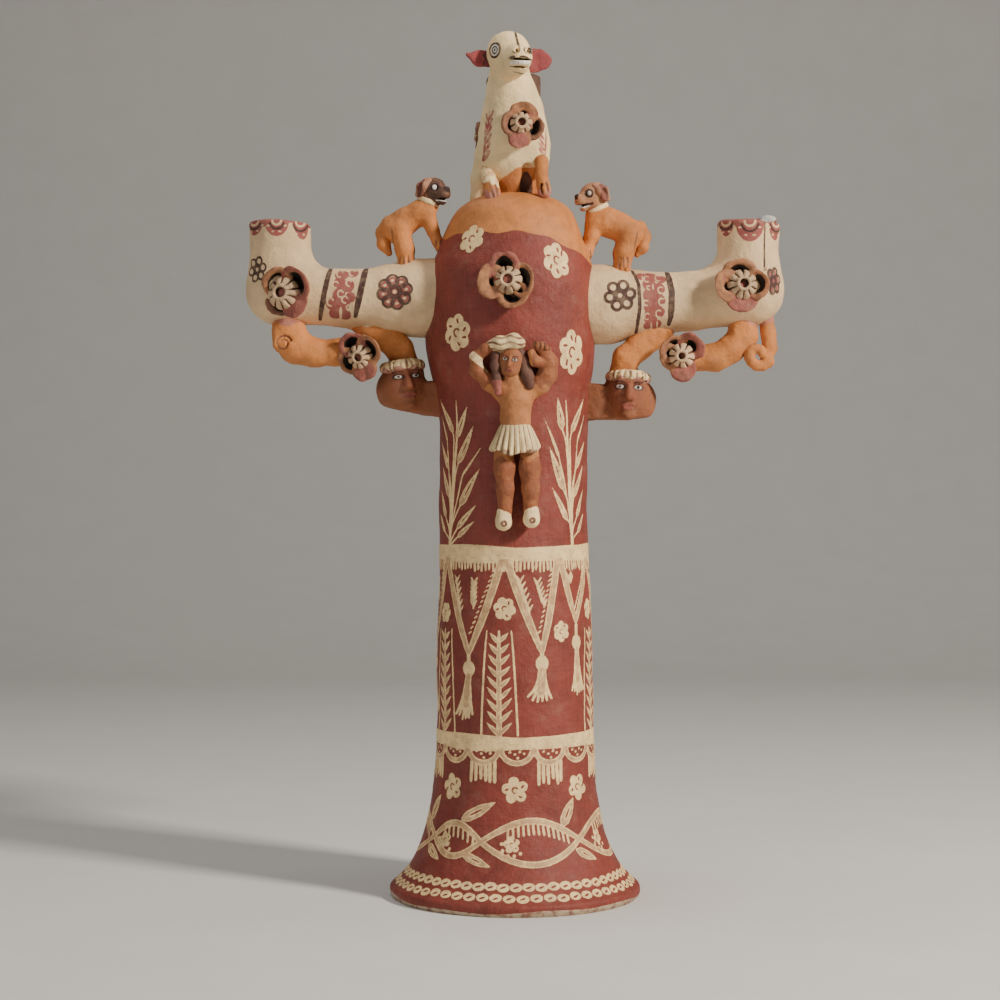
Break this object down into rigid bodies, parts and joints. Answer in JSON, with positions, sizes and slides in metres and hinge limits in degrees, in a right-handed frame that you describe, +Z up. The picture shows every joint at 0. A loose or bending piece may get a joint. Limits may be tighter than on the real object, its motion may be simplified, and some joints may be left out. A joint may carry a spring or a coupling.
{
  "type": "tree of life candle holder",
  "caption": "Hollow earthenware column on a flared foot, with candle arms, luted-on animals, flowers, masks and a dancer.",
  "frame": {"origin": "centre of the foot rim, on the surface that it stands on", "axes": "+Z up along the column, +X towards the right-hand candle arm as seen from the front, -Y towards the viewer, where the dancer faces"},
  "size_m": [0.372, 0.175, 0.6025],
  "materials": {
    "brick_red_slip": "burnished slip, matte",
    "cream_arm_slip": "matte slip",
    "cream_animal_slip": "matte slip",
    "rose_slip": "matte slip",
    "maroon_slip": "matte slip",
    "brown_petal_clay": "bare fired clay",
    "cream_button_slip": "matte slip",
    "brown_head_clay": "bare fired clay",
    "ochre_mask_clay": "bare fired clay",
    "brown_cup_clay": "bare fired clay",
    "dark_brown_slip": "matte slip",
    "cream_trim_slip": "matte slip",
    "ochre_clay": "bare fired clay"
  },
  "bodies": {
    "root": {"foot_bell": "brick_red_slip", "column_tube": "brick_red_slip", "shoulder_body": "brick_red_slip", "dome_cap": "ochre_clay", "left_arm_tube": "cream_arm_slip", "right_arm_tube": "cream_arm_slip", "left_candle_cup": "cream_arm_slip", "right_candle_cup": "cream_arm_slip", "rear_candle_cup": "brown_cup_clay", "top_animal_body": "cream_animal_slip", "top_animal_head": "cream_animal_slip", "top_animal_ears": "rose_slip", "top_animal_legs": "ochre_clay", "chest_flower_petals": "brown_petal_clay", "chest_flower_disc": "cream_button_slip", "back_flower_petals": "brown_petal_clay", "back_flower_disc": "cream_button_slip", "left_dog_body": "ochre_clay", "left_dog_head": "brown_head_clay", "left_dog_ears": "maroon_slip", "left_dog_collar": "cream_trim_slip", "left_dog_tail": "ochre_clay", "right_dog_body": "ochre_clay", "right_dog_head": "brown_head_clay", "right_dog_ears": "maroon_slip", "right_dog_collar": "cream_trim_slip", "right_dog_tail": "ochre_clay", "figure_torso": "ochre_clay", "figure_head": "brown_head_clay", "figure_cap": "cream_trim_slip", "figure_braids": "dark_brown_slip", "figure_left_arm": "ochre_clay", "figure_right_arm": "ochre_clay", "figure_skirt": "cream_trim_slip", "figure_legs": "ochre_clay", "figure_boots": "cream_trim_slip", "column_flower_petals": "brown_petal_clay", "column_flower_disc": "cream_button_slip", "left_arm_flower_petals": "brown_petal_clay", "left_arm_flower_disc": "cream_button_slip", "right_arm_flower_petals": "brown_petal_clay", "right_arm_flower_disc": "cream_button_slip", "left_bracket_strap": "ochre_clay", "right_bracket_strap": "ochre_clay", "left_bracket_flower_petals": "brown_petal_clay", "left_bracket_flower_disc": "cream_button_slip", "right_bracket_flower_petals": "brown_petal_clay", "right_bracket_flower_disc": "cream_button_slip", "left_serpent": "ochre_clay", "right_serpent": "ochre_clay", "left_mask_head": "ochre_mask_clay", "left_mask_cap": "cream_trim_slip", "right_mask_head": "ochre_mask_clay", "right_mask_cap": "cream_trim_slip"}
  },
  "joints": []
}
